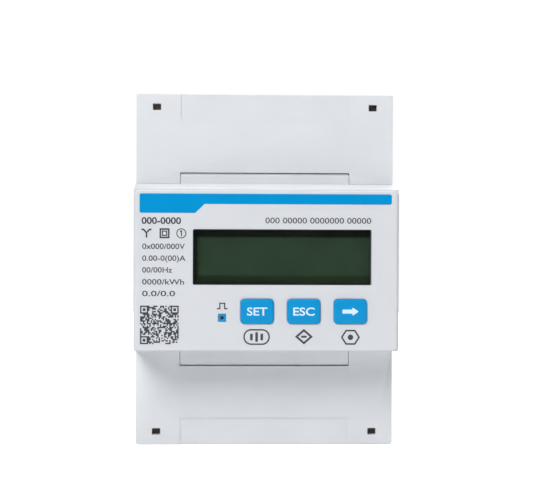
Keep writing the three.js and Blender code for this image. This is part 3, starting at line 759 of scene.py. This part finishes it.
# star connection, double square, ringed figure
zi = 10.04
ink("star_symbol", stroke([(-33.85, 11.1), (-33.3, 11.05), (-32.5, 10.15), (-32.5, 8.85)], 0.42))
ink("star_symbol_arm", stroke([(-31.15, 11.1), (-31.7, 11.05), (-32.32, 10.35)], 0.42))
ink("square_symbol", [rounded(-29.0, -26.3, zi - 1.35, zi + 1.35, 0.15, 2), rounded(-28.58, -26.72, zi - 0.93, zi + 0.93, 0.1, 2)[::-1],
                      rounded(-28.38, -26.92, zi - 0.73, zi + 0.73, 0.08, 2), rounded(-28.08, -27.22, zi - 0.43, zi + 0.43, 0.05, 2)[::-1]])
ink("ring_symbol", [circle(-23.12, zi, 1.36, 40), circle(-23.12, zi, 1.1, 40)[::-1]])
ink("ring_figure", stroke([(-23.5, zi + 0.4), (-23.08, zi + 0.72), (-23.08, zi - 0.82)], 0.28))
ink("pulse_symbol", stroke([(-13.45, -10.3), (-12.65, -10.3), (-12.65, -8.85), (-11.35, -8.85), (-11.35, -10.3), (-10.55, -10.3)], 0.34))


def code_block():
    """A block of random modules: it carries no data."""
    rnd = random.Random(4)
    n = 29
    size = 10.4
    x0, z0 = -28.96 - size / 2, -14.73 - size / 2
    c = size / n
    items = []
    eyes = [(0, n - 6), (n - 6, n - 6), (0, 0)]
    taken = set()
    for ex, ez in eyes:
        for i in range(6):
            for j in range(6):
                taken.add((ex + i, ez + j))
                if i in (0, 5) or j in (0, 5) or (i in (2, 3) and j in (2, 3)):
                    items.append((ex + i, ez + j))
    for i in range(n):
        for j in range(n):
            if (i, j) in taken:
                continue
            if rnd.random() < 0.52:
                items.append((i, j))
    bm = bmesh.new()
    e = 0.012
    for i, j in items:
        box_mesh(bm, x0 + i * c - e, x0 + (i + 1) * c + e, INK_Y, INK_Y + INK_T, z0 + j * c - e, z0 + (j + 1) * c + e)
    me = bpy.data.meshes.new("code_block")
    bm.to_mesh(me)
    bm.free()
    o = obj_from("code_block", me, MAT["ink"])
    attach(o, "housing")


code_block()


def marks():
    """Three plain stand-in marks under the keys."""
    cx, cz = -2.67, -17.96
    ink("mark_stadium", stroke(rounded(cx - 3.4, cx + 3.4, cz - 1.95, cz + 1.95, 1.9, 8), 0.4, True))
    for i, h in enumerate((0.9, 1.3, 0.9)):
        ink("mark_bar_%d" % (i + 1), [rounded(cx - 1.75 + i * 1.4, cx - 1.05 + i * 1.4, cz - h, cz + h, 0.12, 2)])
    cx, cz = 10.16, -17.86
    ink("mark_diamond", stroke([(cx - 2.0, cz), (cx, cz - 1.75), (cx + 2.0, cz), (cx, cz + 1.75)], 0.55, True))
    ink("mark_diamond_bar", [rounded(cx - 0.75, cx + 0.75, cz - 0.28, cz + 0.28, 0.1, 2)])
    cx, cz = 22.8, -18.0
    hexagon = [(cx + 2.35 * math.cos(math.radians(a)), cz + 2.1 * math.sin(math.radians(a))) for a in range(0, 360, 60)]
    ink("mark_hexagon", stroke(hexagon, 0.42, True))
    ink("mark_dot", [circle(cx, cz, 0.75, 24)])


marks()


# ------------------------------------------------------------------ keys
def key(name, x):
    def outline(inset, extra=0.0):
        r = max(0.3, 1.15 - inset * 0.6)
        return rounded(x - 4.53 + inset, x + 4.53 - inset, KEY_Z - 3.36 + inset, KEY_Z + 3.36 - inset, r, 8)

    layers = []
    top = Y_FACE - 0.7
    fillet = 0.55
    for i in range(9):
        a = math.radians(90 * i / 8)
        layers.append((outline(fillet * (1 - math.cos(a))), top + fillet * (1 - math.sin(a))))
    layers = sorted(layers, key=lambda l: l[1])
    layers.append((outline(0), Y_FACE + 2.3))
    o = loft(name + "_cap", layers, MAT["key"])
    flange = sheet_of(name + "_flange", [rounded(x - 5.23, x + 5.23, KEY_Z - 4.06, KEY_Z + 4.06, 1.0, 6)], Y_FACE + 2.3, 1.0, MAT["key"], 0.1)
    stem = boxes(name + "_stem_core", [(x - 1.05, x + 1.05, Y_FACE + 3.2, Y_FACE + 4.3, KEY_Z - 1.05, KEY_Z + 1.05)], MAT["key"])
    soften(stem, 0.3, 3, dissolve=False)
    auto_smooth(o, 60)
    for p in (o, flange, stem):
        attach(p, name + "_key")
    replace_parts(o, name + "_button")
    return o, top


for n, x in zip(("set", "escape", "scroll"), KEY_X):
    cap, top = key(n, x)
    if n == "scroll":
        arrow = [(x - 2.2, KEY_Z - 0.55), (x + 0.5, KEY_Z - 0.55), (x + 0.5, KEY_Z - 1.15), (x + 2.25, KEY_Z), (x + 0.5, KEY_Z + 1.15), (x + 0.5, KEY_Z + 0.55), (x - 2.2, KEY_Z + 0.55)]
        legend = sheet_of("scroll_legend", [arc_corner(arrow, [0.15, 0, 0.12, 0.2, 0.12, 0, 0.15], 3)], top - 0.02, 0.045, MAT["white"])
    else:
        word = {"set": "SET", "escape": "ESC"}[n]
        me = fit_text(word, 2.15, 5.5 if n == "set" else 5.8, x, KEY_Z - 1.07, top - 0.02, 0.045, "CENTER", bold=0.05)
        legend = joined(n + "_legend", [me], MAT["white"])
    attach(legend, n + "_key")


# ------------------------------------------------------------------ pulse lens
lens = sheet_of("pulse_lens", [rounded(LED[0] - 1.02, LED[0] + 1.02, LED[1] - 1.02, LED[1] + 1.02, 0.25, 4), circle(LED[0], LED[1], 0.5, 20)[::-1]], Y_FACE - 0.05, 2.5, MAT["pipe"], 0.06)
lens_core = sheet_of("pulse_lens_core", [circle(LED[0], LED[1], 0.52, 20)], Y_FACE + 0.15, 2.2, MAT["dark"], 0.05)
lens_foot = sheet_of("pulse_lens_foot", [rounded(LED[0] - 1.8, LED[0] + 1.8, LED[1] - 1.8, LED[1] + 1.8, 0.4, 4)], -57.2, 1.0, MAT["pipe"], 0.06)
for p in (lens, lens_core, lens_foot):
    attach(p, "housing")
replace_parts(lens, "led_light_pipe")

# dark liner round the display, inside the window's recess: partly the display's black border, partly painted shade of
# the recess walls
liner = sheet_of("window_border_and_shade", [rounded(WINDOW[0] - 0.1, WINDOW[1] + 0.1, WINDOW[2] - 0.1, WINDOW[3] + 0.1, 0.35, 4),
                                  rounded(WINDOW[0] + 0.35, WINDOW[1] - 0.35, WINDOW[2] + 0.3, WINDOW[3] - 0.3, 0.3, 4)[::-1]], -57.35, 0.12, MAT["frame"])
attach(liner, "housing")

# dark inserts at the bottom of the seal sockets; all but the upper left take a darker copy of the brown, which is
# painted shade
for s, side in ((1, "upper"), (-1, "lower")):
    for k, hand in ((-1, "left"), (1, "right")):
        cx = k * 30.3
        z0, z1 = sorted((s * 44.62, s * 46.26))
        insert = boxes("%s_%s_seal_insert" % (side, hand), [(cx - 1.12, cx + 1.12, -40.3, -35.1, z0, z1)], MAT["socket" if s == 1 and k == -1 else "socket_shaded"])
        soften(insert, 0.12, 2, dissolve=False)
        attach(insert, "housing")


# ------------------------------------------------------------------ stage, light, camera
def stage():
    """A round white table, brighter to the camera than to the object, so that only a soft shadow shows on it."""
    m, nt, bsdf, vec = new_material("studio_table")
    tone = noise(nt, vec, 3.0, 2.0)
    nt.links.new(mix(nt, ramp(nt, tone, 0.0, 1.0), (0.86, 0.86, 0.86, 1), (0.88, 0.88, 0.88, 1)), bsdf.inputs["Base Color"])
    bsdf.inputs["Roughness"].default_value = 0.9
    bsdf.inputs["Specular IOR Level"].default_value = 0.1
    bsdf.inputs["Emission Color"].default_value = (1, 1, 1, 1)
    path = nt.nodes.new("ShaderNodeLightPath")
    glow = nt.nodes.new("ShaderNodeMath")
    glow.operation = "MULTIPLY"
    glow.inputs[1].default_value = 0.35
    nt.links.new(path.outputs["Is Camera Ray"], glow.inputs[0])
    base = nt.nodes.new("ShaderNodeMath")
    base.operation = "ADD"
    base.inputs[1].default_value = 0.10
    nt.links.new(glow.outputs[0], base.inputs[0])
    nt.links.new(base.outputs[0], bsdf.inputs["Emission Strength"])
    bm = bmesh.new()
    bmesh.ops.create_circle(bm, cap_ends=True, segments=96, radius=0.8)
    me = bpy.data.meshes.new("table_top")
    bm.to_mesh(me)
    bm.free()
    top = obj_from("table_top", me, m)
    top.location = (0, 0, -0.0492)


stage()

world = bpy.data.worlds.new("studio")
bpy.context.scene.world = world
world.use_nodes = True
wt = world.node_tree
for n in list(wt.nodes):
    wt.nodes.remove(n)
out = wt.nodes.new("ShaderNodeOutputWorld")
seen = wt.nodes.new("ShaderNodeBackground")
seen.inputs["Color"].default_value = (1, 1, 1, 1)
seen.inputs["Strength"].default_value = 1.0
lit = wt.nodes.new("ShaderNodeBackground")
lit.inputs["Color"].default_value = (0.99, 0.995, 1.0, 1)
lit.inputs["Strength"].default_value = 0.10
lp = wt.nodes.new("ShaderNodeLightPath")
mx = wt.nodes.new("ShaderNodeMixShader")
wt.links.new(lp.outputs["Is Camera Ray"], mx.inputs["Fac"])
wt.links.new(lit.outputs["Background"], mx.inputs[1])
wt.links.new(seen.outputs["Background"], mx.inputs[2])
wt.links.new(mx.outputs["Shader"], out.inputs["Surface"])


def area(name, where, target, size, power, colour=(1, 1, 1)):
    li = bpy.data.lights.new(name, "AREA")
    li.shape = "RECTANGLE"
    li.size, li.size_y = size
    li.energy = power
    li.color = colour
    o = bpy.data.objects.new(name, li)
    bpy.context.scene.collection.objects.link(o)
    o.location = where
    o.rotation_euler = (Vector(target) - Vector(where)).to_track_quat("-Z", "Y").to_euler()
    return o


area("front_softbox", (-0.52, -1.12, 0.92), (0, -0.03, 0), (0.9, 0.75), 16.4)
area("top_softbox", (0.0, 0.08, 1.40), (0, 0, 0), (1.1, 0.9), 12.0)
area("right_softbox", (1.35, -0.1, 0.45), (0, 0, 0), (0.9, 0.8), 2.5)
area("back_softbox", (0.5, 1.30, 0.55), (0, 0, 0), (1.0, 0.8), 8.0)

cam = bpy.data.cameras.new("photo_camera")
cam.sensor_width = 36.0
cam.lens = 110.16
cam.clip_start = 0.01
cam.clip_end = 20.0
co = bpy.data.objects.new("photo_camera", cam)
bpy.context.scene.collection.objects.link(co)
yaw, pitch, roll = math.radians(2.28), math.radians(0.45), math.radians(-0.21)
fwd = Vector((math.sin(yaw) * math.cos(pitch), math.cos(yaw) * math.cos(pitch), -math.sin(pitch)))
right = Vector((math.cos(yaw), -math.sin(yaw), 0))
down = fwd.cross(right)
r2 = math.cos(roll) * right + math.sin(roll) * down
d2 = -math.sin(roll) * right + math.cos(roll) * down
rot = Matrix((r2, -d2, -fwd)).transposed()
co.matrix_world = Matrix.Translation((-0.0159, -0.5149, 0.0092)) @ rot.to_4x4()
bpy.context.scene.camera = co
bpy.context.scene.view_settings.view_transform = "Standard"
bpy.context.scene.view_settings.look = "None"
